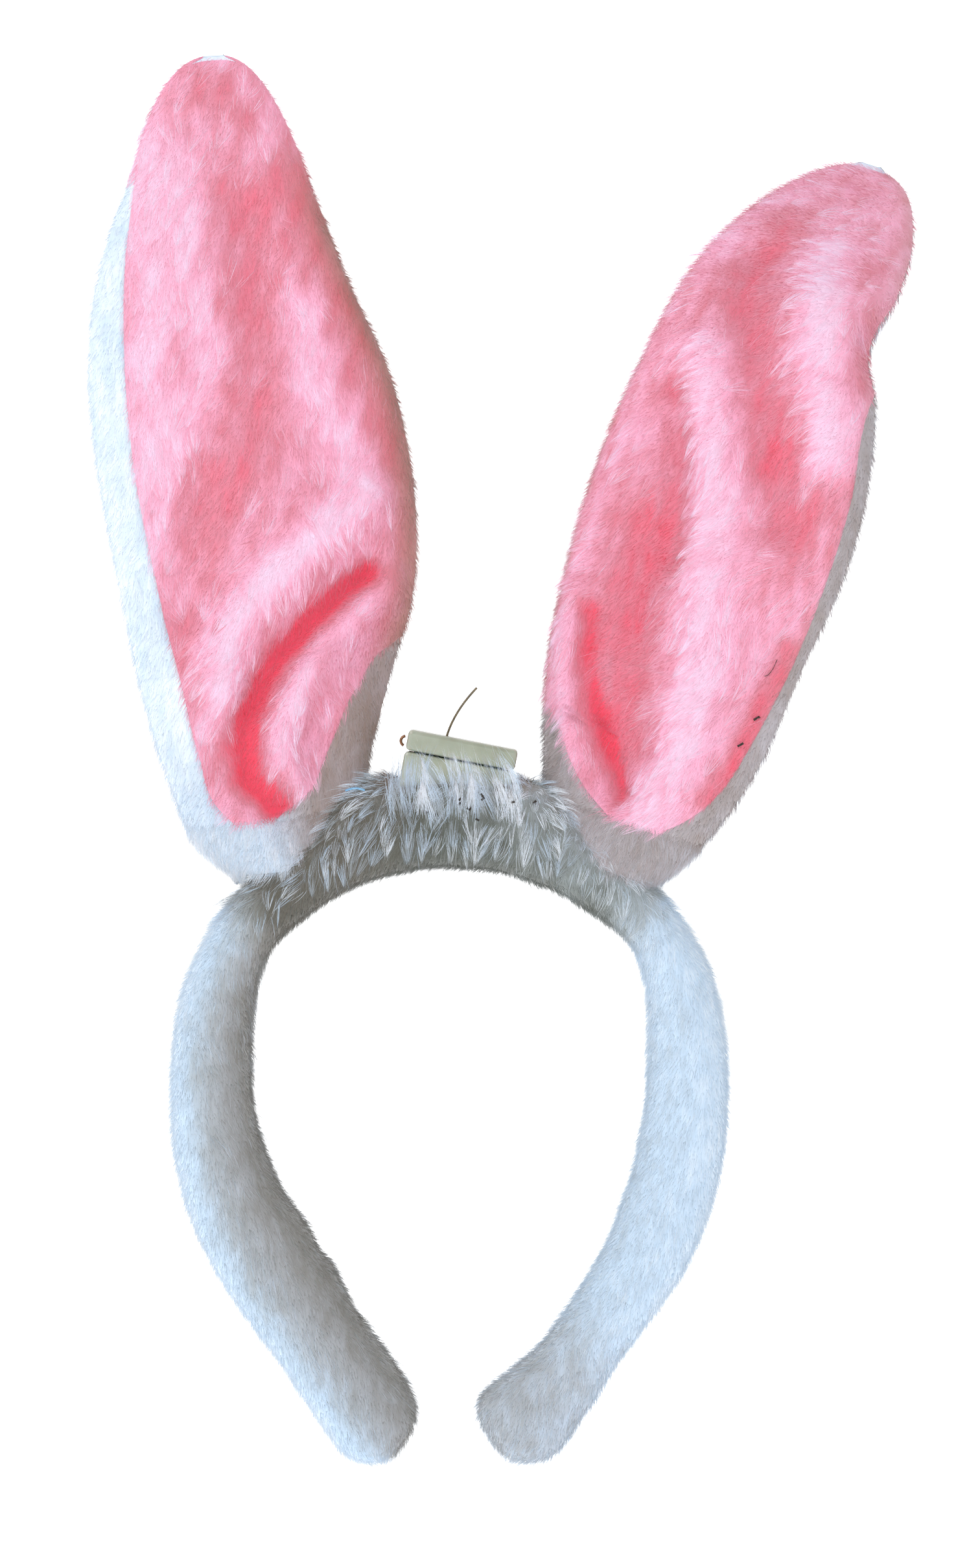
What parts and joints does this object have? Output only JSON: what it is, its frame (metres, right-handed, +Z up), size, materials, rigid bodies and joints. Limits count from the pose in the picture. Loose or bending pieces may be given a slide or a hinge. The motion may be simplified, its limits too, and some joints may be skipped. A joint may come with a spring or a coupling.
{
  "type": "animal ears headband",
  "caption": "Plush-covered springy hoop headband with long wired bunny ears, pink in front and white behind, and a small battery box between them.",
  "frame": {"origin": "middle of the flat seat on the crown's underside, where the band rests on the head", "axes": "+Z up out of the crown, +X towards the bent ear, the pink front faces -Y"},
  "size_m": [0.1971, 0.0515, 0.3401],
  "materials": {
    "white_plush": "long white pile, bluish in the light",
    "pink_plush": "short clumping pink pile",
    "fibre_fill": "loose polyester fibre",
    "foam": "soft open foam",
    "hoop_plastic": "moulded, satin",
    "steel_wire": "drawn wire",
    "thread": "twisted thread",
    "box_plastic": "milky, slightly clear, satin",
    "cell_steel": "plated",
    "contact_steel": "plated spring steel",
    "board": "green board lacquer",
    "switch_plastic": "moulded",
    "button_plastic": "moulded",
    "lead_lacquer": "lacquered wire",
    "copper": "tarnished bare copper",
    "led_lens": "clear domed lens"
  },
  "bodies": {
    "crown": {"hoop_core_crown": "hoop_plastic", "foam_wrap_crown": "foam", "plush_sleeve_crown": "white_plush", "left_root_saddle": "white_plush", "right_root_saddle": "white_plush", "left_wire_foot": "steel_wire", "right_wire_foot": "steel_wire", "battery_box_base": "box_plastic", "button_cell_left": "cell_steel", "button_cell_right": "cell_steel", "contact_plate": "contact_steel", "contact_spring": "contact_steel", "circuit_board": "board", "switch_body": "switch_plastic", "copper_wire_loop": "copper"},
    "left_arm": {"left_hoop_core": "hoop_plastic", "left_foam_wrap": "foam", "left_plush_sleeve": "white_plush"},
    "right_arm": {"right_hoop_core": "hoop_plastic", "right_foam_wrap": "foam", "right_plush_sleeve": "white_plush"},
    "battery_lid": {"battery_box_lid": "box_plastic", "lead_wire": "lead_lacquer"},
    "switch_cap": {"switch_button": "button_plastic"},
    "left_ear_root": {"left_wire_neck": "steel_wire", "left_neck_binding": "thread"},
    "left_ear_lower": {"left_front_lower": "pink_plush", "left_back_lower": "white_plush", "left_fill_lower": "fibre_fill", "left_wire_lower": "steel_wire", "left_ear_led": "led_lens", "left_led_lead": "lead_lacquer"},
    "left_ear_upper": {"left_front_upper": "pink_plush", "left_back_upper": "white_plush", "left_fill_upper": "fibre_fill", "left_wire_upper": "steel_wire"},
    "right_ear_root": {"right_wire_neck": "steel_wire", "right_neck_binding": "thread"},
    "right_ear_lower": {"right_front_lower": "pink_plush", "right_back_lower": "white_plush", "right_fill_lower": "fibre_fill", "right_wire_lower": "steel_wire", "right_ear_led": "led_lens", "right_led_lead": "lead_lacquer"},
    "right_ear_upper": {"right_front_upper": "pink_plush", "right_back_upper": "white_plush", "right_fill_upper": "fibre_fill", "right_wire_upper": "steel_wire"}
  },
  "joints": [
    {"name": "left_arm_flex", "type": "hinge", "parent": "crown", "child": "left_arm", "pos_m": [-0.05578, 0, -0.03307], "axis": [0, 1, 0], "range_deg": [-2, 16], "stiffness_Nm_per_rad": 0.6},
    {"name": "right_arm_flex", "type": "hinge", "parent": "crown", "child": "right_arm", "pos_m": [0.05578, 0, -0.03307], "axis": [0, -1, 0], "range_deg": [-2, 16], "stiffness_Nm_per_rad": 0.6},
    {"name": "left_ear_splay", "type": "hinge", "parent": "crown", "child": "left_ear_root", "pos_m": [-0.0399, 0, 0.00817], "axis": [0.2069, -0.9781, 0.0199], "range_deg": [-6, 20]},
    {"name": "right_ear_splay", "type": "hinge", "parent": "crown", "child": "right_ear_root", "pos_m": [0.0399, 0, 0.00817], "axis": [0.3404, 0.9336, -0.1119], "range_deg": [-6, 20]},
    {"name": "left_ear_tilt", "type": "hinge", "parent": "left_ear_root", "child": "left_ear_lower", "pos_m": [-0.04048, 0, 0.01414], "axis": [0.9736, 0.2079, 0.0938], "range_deg": [-30, 35]},
    {"name": "right_ear_tilt", "type": "hinge", "parent": "right_ear_root", "child": "right_ear_lower", "pos_m": [0.04177, 0, 0.01387], "axis": [0.8869, -0.3584, -0.2916], "range_deg": [-30, 35]},
    {"name": "left_tip_bend", "type": "hinge", "parent": "left_ear_lower", "child": "left_ear_upper", "pos_m": [-0.05231, 0, 0.13707], "axis": [0.9736, 0.2079, 0.0938], "range_deg": [-50, 50]},
    {"name": "right_tip_bend", "type": "hinge", "parent": "right_ear_lower", "child": "right_ear_upper", "pos_m": [0.08035, 0, 0.13119], "axis": [0.8869, -0.3584, -0.2916], "range_deg": [-12, 72]},
    {"name": "battery_lid_lift", "type": "slide", "parent": "crown", "child": "battery_lid", "axis": [0.1908, 0, 0.9816], "range_m": [0, 0.012]},
    {"name": "switch_press", "type": "slide", "parent": "crown", "child": "switch_cap", "axis": [0, -1, 0], "range_m": [0, 0.0008], "stiffness_N_per_m": 400}
  ]
}
